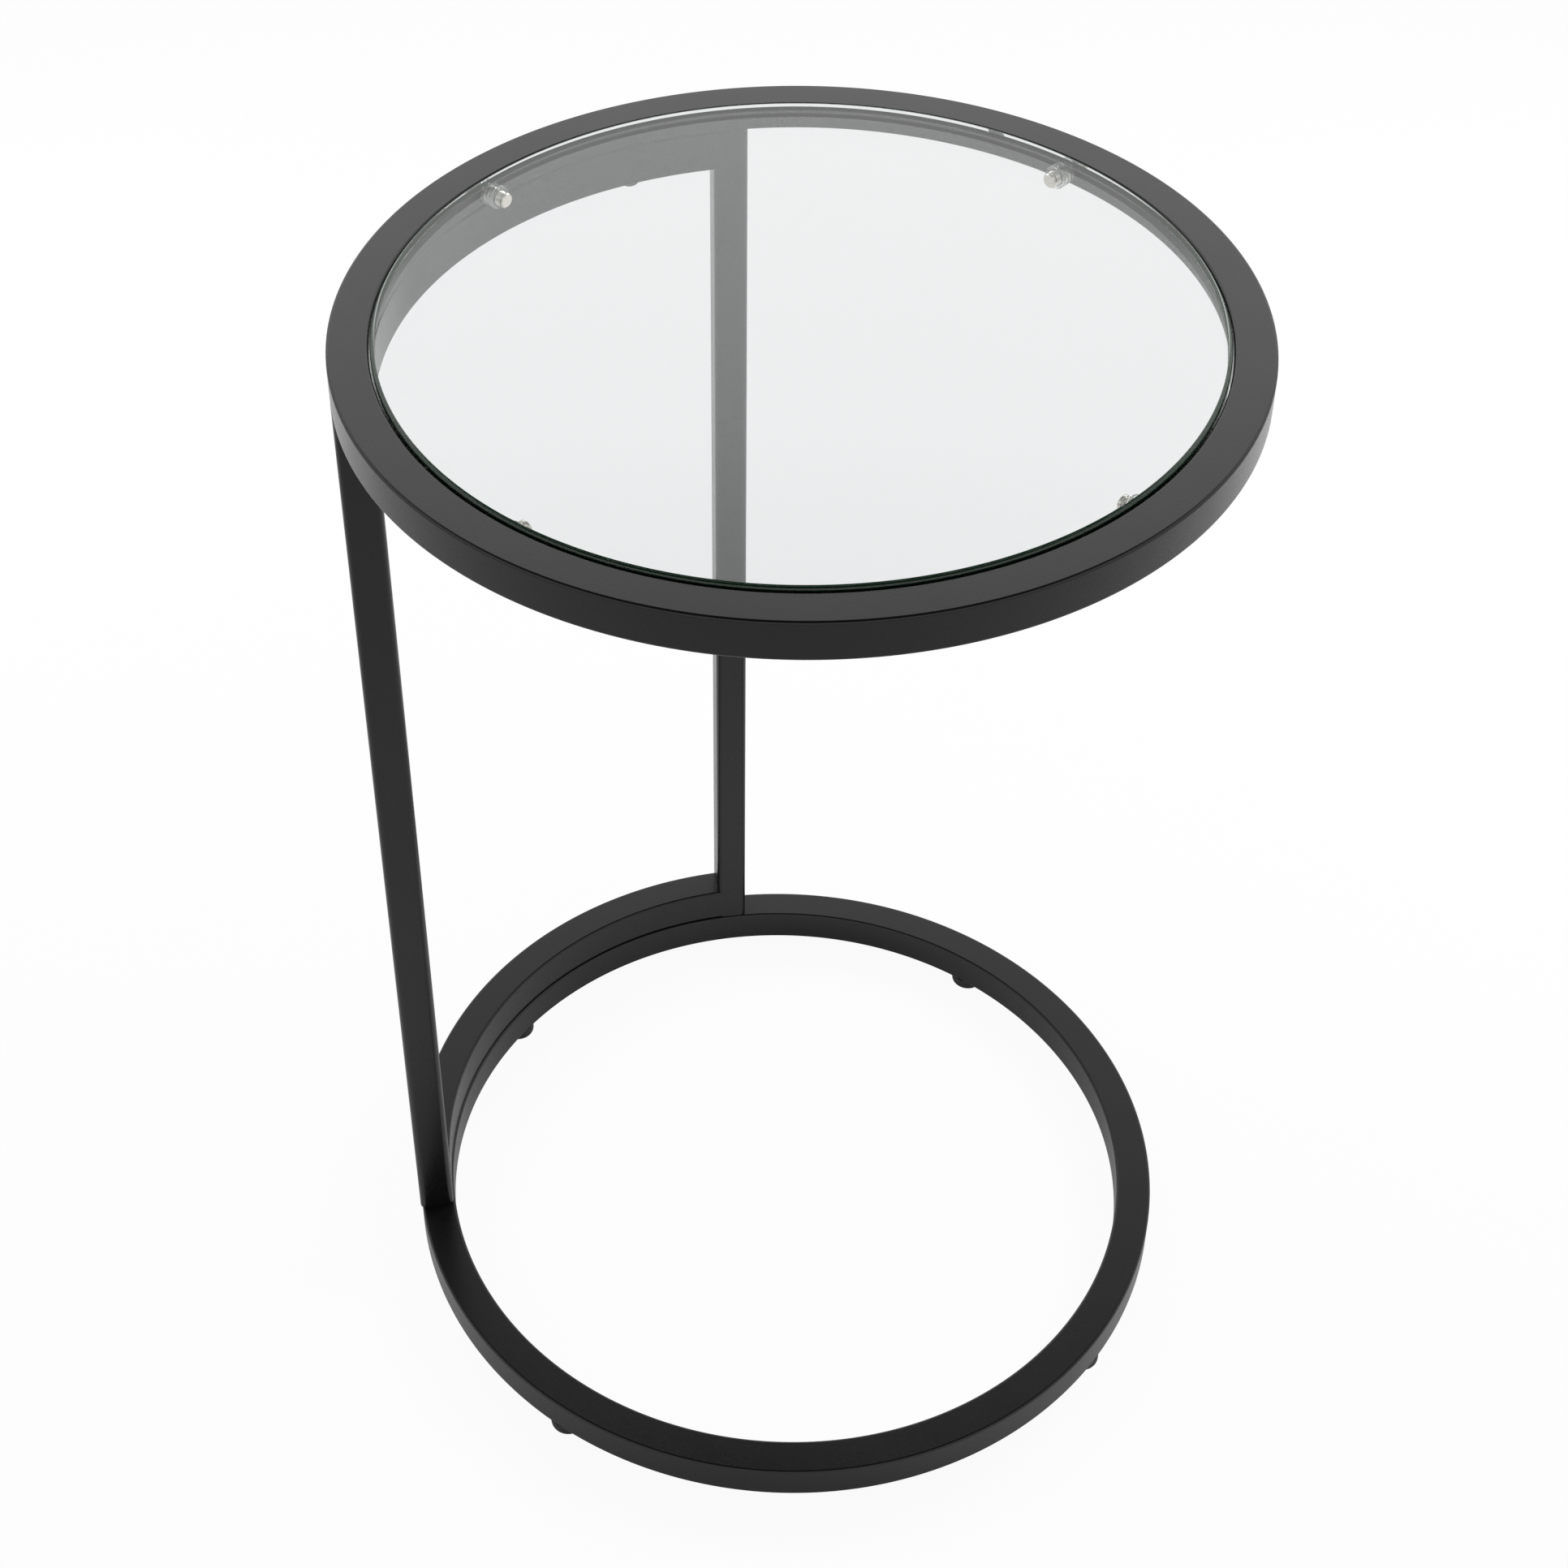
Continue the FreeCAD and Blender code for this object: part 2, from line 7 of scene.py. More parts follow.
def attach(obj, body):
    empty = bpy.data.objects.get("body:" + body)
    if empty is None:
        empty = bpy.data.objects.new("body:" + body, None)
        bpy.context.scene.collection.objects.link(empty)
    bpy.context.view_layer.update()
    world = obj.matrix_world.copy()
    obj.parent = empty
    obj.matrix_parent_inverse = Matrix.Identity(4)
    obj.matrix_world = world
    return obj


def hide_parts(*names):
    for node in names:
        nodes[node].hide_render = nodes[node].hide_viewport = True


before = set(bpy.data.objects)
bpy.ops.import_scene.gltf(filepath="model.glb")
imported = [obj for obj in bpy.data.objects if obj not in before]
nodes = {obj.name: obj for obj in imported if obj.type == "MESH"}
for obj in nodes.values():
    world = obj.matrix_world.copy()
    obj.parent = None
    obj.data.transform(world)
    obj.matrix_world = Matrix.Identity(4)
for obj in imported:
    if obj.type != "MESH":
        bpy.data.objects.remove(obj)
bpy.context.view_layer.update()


# ---- Base ring ----
# The lower ring, which its glides hold 8 mm off the floor: square steel tube, 20 mm wide and 21 mm high,
# rolled to a circle of 443 mm, its two ends butt-welded and ground flush. It is powder coated like the rest.
MM = 0.001
TUBE_WIDTH = 20 * MM
RING_HEIGHT = 21 * MM
RING_CORNER = 1.5 * MM
BASE_RADIUS = 221.5 * MM
BASE_BOTTOM = 8 * MM
BASE_TOP = BASE_BOTTOM + RING_HEIGHT
RING_STEPS = 288
CREASE = math.radians(32)
FLAT_WEIGHT = 80


def linear(hex_colour):
    """The linear colour of an sRGB hex colour, with alpha 1."""
    channels = [int(hex_colour[i:i + 2], 16) / 255 for i in (1, 3, 5)]
    return [c / 12.92 if c <= 0.04045 else ((c + 0.055) / 1.055) ** 2.4 for c in channels] + [1]


def add_node(tree, kind, values=None, links=None, **settings):
    """One node, with its settings, the values of its own sockets and the links that feed them."""
    node = tree.nodes.new(kind)
    for name, value in settings.items():
        setattr(node, name, value)
    for socket, value in (values or {}).items():
        node.inputs[socket].default_value = value
    for socket, source in (links or {}).items():
        tree.links.new(source, node.inputs[socket])
    return node


def new_material(name):
    """An empty material, its node tree and its output node."""
    material = bpy.data.materials.new(name)
    material.use_nodes = True
    material.node_tree.nodes.clear()
    output = add_node(material.node_tree, "ShaderNodeOutputMaterial")
    return material, material.node_tree, output


def tube_outline(width, height, corner, steps=6):
    """The outline of a tube with rounded corners, about its middle, anticlockwise."""
    middle = Vector((width / 2 - corner, height / 2 - corner))
    sides = ((1, 1), (-1, 1), (-1, -1), (1, -1))
    points = []
    for quarter, (across, up) in enumerate(sides):
        for step in range(steps + 1):
            angle = (quarter + step / steps) * math.pi / 2
            rim = Vector((math.cos(angle), math.sin(angle))) * corner
            points.append(Vector((across * middle.x, up * middle.y)) + rim)
    return points


def mesh_piece(name, vertices, faces):
    """A mesh object with smooth rounds, sharp creases and flat faces that stay flat."""
    mesh = bpy.data.meshes.new(name)
    mesh.from_pydata(vertices, [], faces)
    mesh.shade_smooth()
    mesh.set_sharp_from_angle(angle=CREASE)
    piece = bpy.data.objects.new(name, mesh)
    bpy.context.scene.collection.objects.link(piece)
    flat_faces = piece.modifiers.new("flat faces stay flat", "WEIGHTED_NORMAL")
    flat_faces.keep_sharp = True
    flat_faces.weight = FLAT_WEIGHT
    return piece


def skin(name, rows, joined=False, capped=False):
    """A mesh object of quads between rows of points, joined end to start, or capped."""
    count = len(rows[0])
    vertices = [point for row in rows for point in row]
    faces = []
    for i in range(len(rows) if joined else len(rows) - 1):
        here, there = i * count, (i + 1) % len(rows) * count
        for j in range(count):
            k = (j + 1) % count
            faces.append((here + j, here + k, there + k, there + j))
    if capped:
        faces.append(tuple(reversed(range(count))))
        faces.append(tuple(range(len(vertices) - count, len(vertices))))
    return mesh_piece(name, vertices, faces)


def dress(piece, material, slot, *cad_nodes, body="frame"):
    """Gives a piece its finish, sets it on its body and lets it stand for its CAD nodes."""
    piece.data.materials.clear()
    piece.data.materials.append(material)
    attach(piece, body)
    if cad_nodes:
        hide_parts(*cad_nodes)


def bent_tube(name, outline, radius, height, start, end, steps):
    """A tube bent about the table's axis, its section's middle at a radius and height."""
    full = end - start >= 360
    rows = []
    for i in range(steps if full else steps + 1):
        turn = math.radians(end - (end - start) * i / steps)
        outwards = Vector((math.cos(turn), math.sin(turn), 0))
        rows.append([outwards * (radius + p.x) + Vector((0, 0, height + p.y)) for p in outline])
    return skin(name, rows, joined=full, capped=not full)


# Satin black polyester powder coat, baked at 200 C over phosphated steel. The melted powder leaves a
# faint orange peel about 1.5 mm wide and a finer grain, so lights on it stay soft edged and slightly
# broken. Larger clouds, some 40 mm wide, are a little duller where the coat went on thicker.
PEEL = 1.5 * MM
GRAIN = 0.5 * MM
CLOUD = 40 * MM
COAT_DEPTH = 0.03 * MM
powder_coat, tree, output = new_material("powder coat, satin black, baked")
place = add_node(tree, "ShaderNodeTexCoord").outputs["Object"]
cloud = add_node(tree, "ShaderNodeTexNoise", {"Scale": 1 / CLOUD, "Detail": 3.0}, {"Vector": place})
grain = add_node(tree, "ShaderNodeTexNoise", {"Scale": 1 / GRAIN, "Detail": 2.0}, {"Vector": place})
peel = add_node(tree, "ShaderNodeTexNoise", {"Scale": 1 / PEEL, "Detail": 1.0}, {"Vector": place})
tone = add_node(tree, "ShaderNodeMix", {6: linear("#121112"), 7: linear("#191819")},
                {0: grain.outputs["Fac"]}, data_type="RGBA")
patchy = add_node(tree, "ShaderNodeMapRange",
                  {"From Min": 0.3, "From Max": 0.7, "To Min": 0.22, "To Max": 0.26},
                  {"Value": cloud.outputs["Fac"]})
rough = add_node(tree, "ShaderNodeMath", {1: 0.06}, {0: grain.outputs["Fac"], 2: patchy.outputs[0]},
                 operation="MULTIPLY_ADD")
fine = add_node(tree, "ShaderNodeBump", {"Strength": 0.25, "Distance": COAT_DEPTH},
                {"Height": grain.outputs["Fac"]})
skinned = add_node(tree, "ShaderNodeBump", {"Strength": 0.5, "Distance": COAT_DEPTH},
                   {"Height": peel.outputs["Fac"], "Normal": fine.outputs["Normal"]})
coat = add_node(tree, "ShaderNodeBsdfPrincipled", {"IOR": 1.45},
                {"Base Color": tone.outputs[2], "Roughness": rough.outputs[0],
                 "Normal": skinned.outputs["Normal"]})
tree.links.new(coat.outputs["BSDF"], output.inputs["Surface"])

ring_outline = tube_outline(TUBE_WIDTH, RING_HEIGHT, RING_CORNER)
base_ring = bent_tube("base_ring_tube", ring_outline, BASE_RADIUS - TUBE_WIDTH / 2,
                      BASE_BOTTOM + RING_HEIGHT / 2, 0, 360, RING_STEPS)
dress(base_ring, powder_coat, "black_powder_coat", "base_ring")


# ---- Glides ----
# Four round feet under the base ring, moulded in black nylon round an M6 steel stud. The stud
# is screwed into a rivet nut in the tube's lower wall, so the glide's flat top closes the hole.
FOOT_RADIUS = 10 * MM
FOOT_HEIGHT = 8 * MM
FOOT_ROUND = 3 * MM
FOOT_TURNS = (0, 90, 180, 270)


def turned(name, profile, place, steps=48):
    """A mesh object turned about a place's Z axis, from (radius, height) points. Points on the
    axis close the piece."""
    rows = []
    for i in range(steps):
        turn = 2 * math.pi * i / steps
        rows.append([place @ Vector((r * math.cos(turn), r * math.sin(turn), h)) for r, h in profile])
    vertices, index, faces = [], [], []
    for row in rows:
        index.append([])
        for j, point in enumerate(row):
            if profile[j][0] == 0 and row is not rows[0]:
                index[-1].append(index[0][j])
            else:
                index[-1].append(len(vertices))
                vertices.append(point)
    closed = profile[0][0] != 0
    for i in range(steps):
        here, there = index[i], index[(i + 1) % steps]
        for j in range(len(profile) if closed else len(profile) - 1):
            k = (j + 1) % len(profile)
            face = list(dict.fromkeys((here[j], there[j], there[k], here[k])))
            if len(face) > 2:
                faces.append(face)
    return mesh_piece(name, vertices, faces)


def rounding(radius, middle, start, end, steps=6):
    """Points of an arc about a (radius, height) middle, for a turned profile. Angles in degrees."""
    turns = [math.radians(start + (end - start) * i / steps) for i in range(steps + 1)]
    return [(middle[0] + radius * math.cos(t), middle[1] + radius * math.sin(t)) for t in turns]


def standing(turn, radius, height):
    """The place of a piece whose axis is upright, at an angle and radius from the table's middle."""
    return Matrix.Rotation(math.radians(turn), 4, "Z") @ Matrix.Translation((radius, 0, height))


# Moulded nylon 6, black: a spark-eroded mould leaves a fine matte texture of about 0.4 mm.
TEXTURE = 0.4 * MM
TEXTURE_DEPTH = 0.05 * MM
nylon, tree, output = new_material("nylon, black, moulded")
place = add_node(tree, "ShaderNodeTexCoord").outputs["Object"]
pores = add_node(tree, "ShaderNodeTexNoise", {"Scale": 1 / TEXTURE, "Detail": 2.0}, {"Vector": place})
tone = add_node(tree, "ShaderNodeMix", {6: linear("#161618"), 7: linear("#222224")},
                {0: pores.outputs["Fac"]}, data_type="RGBA")
rough = add_node(tree, "ShaderNodeMapRange", {"To Min": 0.5, "To Max": 0.62},
                 {"Value": pores.outputs["Fac"]})
texture = add_node(tree, "ShaderNodeBump", {"Strength": 0.4, "Distance": TEXTURE_DEPTH},
                   {"Height": pores.outputs["Fac"]})
plastic = add_node(tree, "ShaderNodeBsdfPrincipled", {"IOR": 1.53},
                   {"Base Color": tone.outputs[2], "Roughness": rough.outputs[0],
                    "Normal": texture.outputs["Normal"]})
tree.links.new(plastic.outputs["BSDF"], output.inputs["Surface"])

FOOT_EDGE = 0.4 * MM
foot_profile = [(0, 0)]
foot_profile += rounding(FOOT_ROUND, (FOOT_RADIUS - FOOT_ROUND, FOOT_ROUND), -90, 0)
foot_profile += rounding(FOOT_EDGE, (FOOT_RADIUS - FOOT_EDGE, FOOT_HEIGHT - FOOT_EDGE), 0, 90, 3)
foot_profile += [(0, FOOT_HEIGHT)]
for i, turn in enumerate(FOOT_TURNS, start=1):
    foot = turned(f"glide_{i}", foot_profile, standing(turn, BASE_RADIUS - TUBE_WIDTH / 2, 0))
    dress(foot, nylon, "black_nylon", f"foot_{i}")


# ---- Studs and rivet nuts ----
# Steel fixings inside the tubes: the glides' studs, and the rivet nuts that hold the glides, the
# frame screws and the support pins. All are pressed or turned and bright zinc plated.
# Zinc plate keeps the turning marks of the steel under a bluish, slightly blotchy shine. They are drawn
# 1.9 mm apart, coarser than the tool leaves them, because finer ones wouldn't show.
TURNING = 1.885 * MM
WAVES_IN_UNIT = 20 / (2 * math.pi)
BLOTCH = 4 * MM
PLATE_DEPTH = 0.01 * MM
zinc, tree, output = new_material("zinc plate, bright, turned")
place = add_node(tree, "ShaderNodeTexCoord").outputs["Object"]
marks = add_node(tree, "ShaderNodeTexWave", {"Scale": 1 / TURNING / WAVES_IN_UNIT, "Distortion": 1.0},
                 {"Vector": place}, bands_direction="Z")
blotches = add_node(tree, "ShaderNodeTexNoise", {"Scale": 1 / BLOTCH}, {"Vector": place})
tone = add_node(tree, "ShaderNodeMix", {6: linear("#b9bcc0"), 7: linear("#d3d5d6")},
                {0: blotches.outputs["Fac"]}, data_type="RGBA")
rough = add_node(tree, "ShaderNodeMapRange", {"To Min": 0.26, "To Max": 0.38},
                 {"Value": blotches.outputs["Fac"]})
lines = add_node(tree, "ShaderNodeBump", {"Strength": 0.2, "Distance": PLATE_DEPTH},
                 {"Height": marks.outputs["Fac"]})
plate = add_node(tree, "ShaderNodeBsdfPrincipled", {"Metallic": 1.0},
                 {"Base Color": tone.outputs[2], "Roughness": rough.outputs[0],
                  "Normal": lines.outputs["Normal"]})
tree.links.new(plate.outputs["BSDF"], output.inputs["Surface"])

for name, node in nodes.items():
    if "_insert_" in name or name.startswith("foot_stud"):
        node.data.materials.clear()
        node.data.materials.append(zinc)


# ---- Leg frame ----
# One welded piece that joins the two rings at the back: an arc of tube on the base ring, two straight
# uprights with soft corners, and a second arc under the top ring. The arcs' ends are coped to the
# uprights, and the seams are welded from inside the corners, then powder coated over.
TOP_RADIUS = 222.5 * MM
TUBE_MIDDLE = TOP_RADIUS - TUBE_WIDTH / 2
RAIL_HEIGHT = 23 * MM
FRAME_TOP = 620 * MM
UPRIGHT_WIDTH = 18.5 * MM
UPRIGHT_CORNER = 3.5 * MM
BACK = 90
LEG_SPREAD = 45
RAIL_END = 6.2 * MM  # from an upright's middle plane to the rails' ends, which lie inside its roundings
RAIL_STEPS = 80
WELD_RADIUS = 0.9 * MM
WELD_SINK = 0.5 * MM
WELD_RIPPLE = 1.6 * MM
WELD_SWELL = 0.12
WELD_END = 0.4
WELD_SIDES = 10
WELD_STEPS = 40

upright_outline = tube_outline(TUBE_WIDTH, UPRIGHT_WIDTH, UPRIGHT_CORNER, steps=10)
for side, turn in (("right", BACK - LEG_SPREAD), ("left", BACK + LEG_SPREAD)):
    rows = []
    for height in (BASE_TOP, FRAME_TOP):
        place = standing(turn, TUBE_MIDDLE, height)
        rows.append([place @ p.to_3d() for p in upright_outline])
    upright = skin(f"upright_tube_{side}", rows, capped=True)
    dress(upright, powder_coat, "black_powder_coat", f"upright_{side}")

rail_outline = tube_outline(TUBE_WIDTH, RAIL_HEIGHT, RING_CORNER)
rail_gap = math.degrees(math.asin(RAIL_END / TUBE_MIDDLE))
first, last = BACK - LEG_SPREAD + rail_gap, BACK + LEG_SPREAD - rail_gap
bottom_rail = bent_tube("bottom_rail_tube", rail_outline, TUBE_MIDDLE, BASE_TOP + RAIL_HEIGHT / 2,
                        first, last, RAIL_STEPS)
dress(bottom_rail, powder_coat, "black_powder_coat", "bottom_rail")
top_rail = bent_tube("top_rail_tube", rail_outline, TUBE_MIDDLE, FRAME_TOP - RAIL_HEIGHT / 2,
                     first, last, RAIL_STEPS)
dress(top_rail, powder_coat, "black_powder_coat", "top_rail")


def weld_bead(name, line):
    """A bead of weld metal along a line of points, with the low ripples of its drops."""
    turns = [2 * math.pi * j / WELD_SIDES for j in range(WELD_SIDES)]
    circle = [Vector((math.cos(t), math.sin(t))) for t in turns]
    run, rows = 0.0, []
    for i, point in enumerate(line):
        ahead = line[min(i + 1, len(line) - 1)] - line[max(i - 1, 0)]
        across = Vector((0, 0, 1)).cross(ahead).normalized()
        run += (point - line[max(i - 1, 0)]).length
        radius = WELD_RADIUS * (1 + WELD_SWELL * math.cos(2 * math.pi * run / WELD_RIPPLE))
        if i in (0, len(line) - 1):
            radius *= WELD_END
        rows.append([point + (across * c.x + Vector((0, 0, 1)) * c.y) * radius for c in circle])
    return skin(name, rows, capped=True)


RAIL_SEAMS = (("bottom_rail", BASE_TOP + RAIL_HEIGHT, -1), ("top_rail", FRAME_TOP - RAIL_HEIGHT, 1))
for rail, height, up in RAIL_SEAMS:
    for side, turn, way in (("right", BACK - LEG_SPREAD, 1), ("left", BACK + LEG_SPREAD, -1)):
        place = standing(turn, TUBE_MIDDLE, height + up * WELD_SINK)
        edge = way * (UPRIGHT_WIDTH / 2 - WELD_SINK)
        reach = TUBE_WIDTH / 2 - UPRIGHT_CORNER
        reaches = [-reach + 2 * reach * i / WELD_STEPS for i in range(WELD_STEPS + 1)]
        line = [place @ Vector((x, edge, 0)) for x in reaches]
        if way < 0:
            line.reverse()
        bead = weld_bead(f"weld_{rail}_{side}", line)
        dress(bead, powder_coat, "black_powder_coat")


# ---- Base screws ----
# Two M6 button-head screws that come up through the base ring into rivet nuts in the bottom rail.
# They are cold headed, with a hexagon socket, and blackened, each on a zinc plated washer.
SCREW_SPREAD = 30
SCREW_TURNS = (BACK - SCREW_SPREAD, BACK + SCREW_SPREAD)
HEAD_RADIUS = 5.25 * MM
HEAD_HEIGHT = 3.3 * MM
HEAD_ROUND = 2.4 * MM
SCREW_RADIUS = 3 * MM
SCREW_BEVEL = 0.8 * MM
SCREW_STEPS = 48
SOCKET_HALF = 2 * MM
SOCKET_RIM = 2.5 * MM
SOCKET_DEPTH = 2 * MM
WASHER_RADIUS = 6 * MM
WASHER_HOLE = 3.25 * MM
WASHER_THICKNESS = 1.6 * MM
WASHER_ROUND = 0.35 * MM
SCREW_GRIP = 10 * MM

# Black oxide on steel: a thin blue-black conversion layer, slightly oily, that keeps the metal's shine.
FILM = 1.5 * MM
FILM_DEPTH = 0.02 * MM
oxide, tree, output = new_material("black oxide, oiled steel")
place = add_node(tree, "ShaderNodeTexCoord").outputs["Object"]
film = add_node(tree, "ShaderNodeTexNoise", {"Scale": 1 / FILM, "Detail": 3.0}, {"Vector": place})
tone = add_node(tree, "ShaderNodeMix", {6: linear("#2a2a2d"), 7: linear("#3b3b40")},
                {0: film.outputs["Fac"]}, data_type="RGBA")
rough = add_node(tree, "ShaderNodeMapRange", {"To Min": 0.3, "To Max": 0.48},
                 {"Value": film.outputs["Fac"]})
uneven = add_node(tree, "ShaderNodeBump", {"Strength": 0.15, "Distance": FILM_DEPTH},
                  {"Height": film.outputs["Fac"]})
oiled = add_node(tree, "ShaderNodeBsdfPrincipled", {"Metallic": 0.6},
                 {"Base Color": tone.outputs[2], "Roughness": rough.outputs[0],
                  "Normal": uneven.outputs["Normal"]})
tree.links.new(oiled.outputs["BSDF"], output.inputs["Surface"])


def circle_row(place, radius, height, steps):
    """Points of a circle about a place's Z axis, at a height along it."""
    turns = [2 * math.pi * i / steps for i in range(steps)]
    return [place @ Vector((radius * math.cos(t), radius * math.sin(t), height)) for t in turns]


def button_screw(name, place, length):
    """A button-head screw that points up from its place, with a hexagon socket in its lower face."""
    end = HEAD_HEIGHT + length
    profile = [(SOCKET_RIM, 0)]
    profile += rounding(HEAD_ROUND, (HEAD_RADIUS - HEAD_ROUND, HEAD_ROUND), -90, 0, 8)
    profile += [(HEAD_RADIUS, HEAD_HEIGHT), (SCREW_RADIUS, HEAD_HEIGHT)]
    profile += [(SCREW_RADIUS, end - SCREW_BEVEL), (SCREW_RADIUS - SCREW_BEVEL, end)]
    rows = []
    for height in (SOCKET_DEPTH, 0):
        row = []
        for i in range(SCREW_STEPS):
            turn = 2 * math.pi * i / SCREW_STEPS
            reach = SOCKET_HALF / math.cos((turn + math.pi / 6) % (math.pi / 3) - math.pi / 6)
            row.append(place @ Vector((reach * math.cos(turn), reach * math.sin(turn), height)))
        rows.append(row)
    rows += [circle_row(place, radius, height, SCREW_STEPS) for radius, height in profile]
    return skin(name, rows, capped=True)


washer_profile = [(WASHER_HOLE, 0)]
washer_profile += rounding(WASHER_ROUND, (WASHER_RADIUS - WASHER_ROUND, WASHER_ROUND), -90, 0, 4)
washer_profile += [(WASHER_RADIUS, WASHER_THICKNESS), (WASHER_HOLE, WASHER_THICKNESS)]


def screw_and_washer(name, seat, clamped):
    """The two screws of one rail with their washers, drawn up against a seat."""
    washer_height = seat - WASHER_THICKNESS
    for i, turn in enumerate(SCREW_TURNS, start=1):
        under = standing(turn, TUBE_MIDDLE, washer_height)
        washer = turned(f"{name}_washer_{i}_plate", washer_profile, under)
        dress(washer, zinc, "zinc_plate", f"{name}_washer_{i}")
        head = standing(turn, TUBE_MIDDLE, washer_height - HEAD_HEIGHT)
        screw = button_screw(f"{name}_screw_{i}", head, WASHER_THICKNESS + clamped + SCREW_GRIP)
        dress(screw, oxide, "black_oxide", f"{name}_bolt_{i}")


screw_and_washer("base", BASE_BOTTOM, RING_HEIGHT)


# ---- Top ring ----
# The ring that holds the glass: the same tube as the base ring, rolled 1 mm larger so that it stands
# flush with the leg frame, welded, ground and powder coated.
TABLE_TOP = FRAME_TOP + RING_HEIGHT
top_ring = bent_tube("top_ring_tube", ring_outline, TUBE_MIDDLE, FRAME_TOP + RING_HEIGHT / 2,
                     0, 360, RING_STEPS)
dress(top_ring, powder_coat, "black_powder_coat", "top_ring")


# ---- Top screws ----
# Two more M6 button-head screws, blackened and on zinc plated washers, hold the top ring. They come up
# through the top rail, from below, into rivet nuts in the ring.
screw_and_washer("top", FRAME_TOP - RAIL_HEIGHT, RAIL_HEIGHT)


# ---- Support pins ----
# Four threaded 8 mm studs in the top ring's inner wall, each with a flat bevelled end and a thinner root
# that is screwed in. The glass lies on the sleeves round them. Turned steel, bright nickel plated.
TOP_INNER = TOP_RADIUS - TUBE_WIDTH
PIN_HEIGHT = 626 * MM
PIN_TURNS = (-7.4, 86.2, 176.7, 263.1)
PIN_RADIUS = 4 * MM
PIN_REACH = 13 * MM
PIN_ROOT = 2 * MM
PIN_GRIP = 8.6 * MM
SLEEVE_GAP = 0.2 * MM
PIN_BEVEL = 0.6 * MM
PLAIN_END = 1.5 * MM
THREAD_PITCH = 1.25 * MM
THREAD_DEPTH = 0.55 * MM
THREAD_FLAT = 1.25
PIN_STEPS = 40
THREAD_ROWS = 90

# Bright nickel plate over turned steel: warm white, almost a mirror, with a faint grain on the flats.
NICKEL_GRAIN = 0.8 * MM
nickel, tree, output = new_material("nickel plate, bright, over turned steel")
place = add_node(tree, "ShaderNodeTexCoord").outputs["Object"]
haze = add_node(tree, "ShaderNodeTexNoise", {"Scale": 1 / NICKEL_GRAIN, "Detail": 2.0}, {"Vector": place})
tone = add_node(tree, "ShaderNodeMix", {6: linear("#d8d3c6"), 7: linear("#ebe7dc")},
                {0: haze.outputs["Fac"]}, data_type="RGBA")
rough = add_node(tree, "ShaderNodeMapRange", {"To Min": 0.14, "To Max": 0.26},
                 {"Value": haze.outputs["Fac"]})
faint = add_node(tree, "ShaderNodeBump", {"Strength": 0.1, "Distance": PLATE_DEPTH},
                 {"Height": haze.outputs["Fac"]})
bright = add_node(tree, "ShaderNodeBsdfPrincipled", {"Metallic": 1.0},
                  {"Base Color": tone.outputs[2], "Roughness": rough.outputs[0],
                   "Normal": faint.outputs["Normal"]})
tree.links.new(bright.outputs["BSDF"], output.inputs["Surface"])


def lying(turn, radius):
    """The place of a piece on a support pin's axis: its Z axis points to the table's middle."""
    return standing(turn, radius, PIN_HEIGHT) @ Matrix.Rotation(-math.pi / 2, 4, "Y")


def threaded_pin(name, place):
    """A stud from its thinner root to its bevelled end, its thread rolled up to a short plain end."""
    length = PIN_GRIP + PIN_REACH
    shoulder, threaded = PIN_GRIP + SLEEVE_GAP, length - PLAIN_END
    rows = [circle_row(place, PIN_ROOT, height, PIN_STEPS) for height in (0, shoulder)]
    for height in [shoulder + (threaded - shoulder) * i / THREAD_ROWS for i in range(THREAD_ROWS + 1)]:
        fade = min(1, (threaded - height) / (THREAD_PITCH / 2))
        row = []
        for i in range(PIN_STEPS):
            turn = 2 * math.pi * i / PIN_STEPS
            phase = (height / THREAD_PITCH - i / PIN_STEPS) % 1
            groove = 1 - abs(2 * phase - 1)
            radius = PIN_RADIUS - THREAD_DEPTH * fade * min(1, groove * THREAD_FLAT)
            row.append(place @ Vector((radius * math.cos(turn), radius * math.sin(turn), height)))
        rows.append(row)
    rows.append(circle_row(place, PIN_RADIUS, length - PIN_BEVEL, PIN_STEPS))
    rows.append(circle_row(place, PIN_RADIUS - PIN_BEVEL, length, PIN_STEPS))
    return skin(name, rows, capped=True)


for i, turn in enumerate(PIN_TURNS, start=1):
    pin = threaded_pin(f"threaded_pin_{i}", lying(turn, TOP_INNER + PIN_GRIP))
    dress(pin, nickel, "nickel_plate", f"support_pin_{i}")


# ---- Sleeves ----
# A short soft sleeve on each pin keeps the glass off the metal. It is moulded in clear vinyl, with
# four thin ribs round its barrel, and its bore grips the thread.
SLEEVE_LENGTH = 8 * MM
RIB_COUNT = 4
SLEEVE_BORE = 4.05 * MM
SLEEVE_BARREL = 4.8 * MM
SLEEVE_RIB = 6.2 * MM
RIB_WIDTH = 0.9 * MM

# Clear plasticised vinyl: water clear but slightly wavy, with a soft shine from the polished mould.
FLOW = 1.2 * MM
FLOW_DEPTH = 0.05 * MM
vinyl, tree, output = new_material("vinyl, clear, moulded")
place = add_node(tree, "ShaderNodeTexCoord").outputs["Object"]
flow = add_node(tree, "ShaderNodeTexNoise", {"Scale": 1 / FLOW, "Detail": 1.0}, {"Vector": place})
tone = add_node(tree, "ShaderNodeMix", {6: linear("#eff2f1"), 7: linear("#fbfcfb")},
                {0: flow.outputs["Fac"]}, data_type="RGBA")
rough = add_node(tree, "ShaderNodeMapRange", {"To Min": 0.0, "To Max": 0.04},
                 {"Value": flow.outputs["Fac"]})
wavy = add_node(tree, "ShaderNodeBump", {"Strength": 0.2, "Distance": FLOW_DEPTH},
                {"Height": flow.outputs["Fac"]})
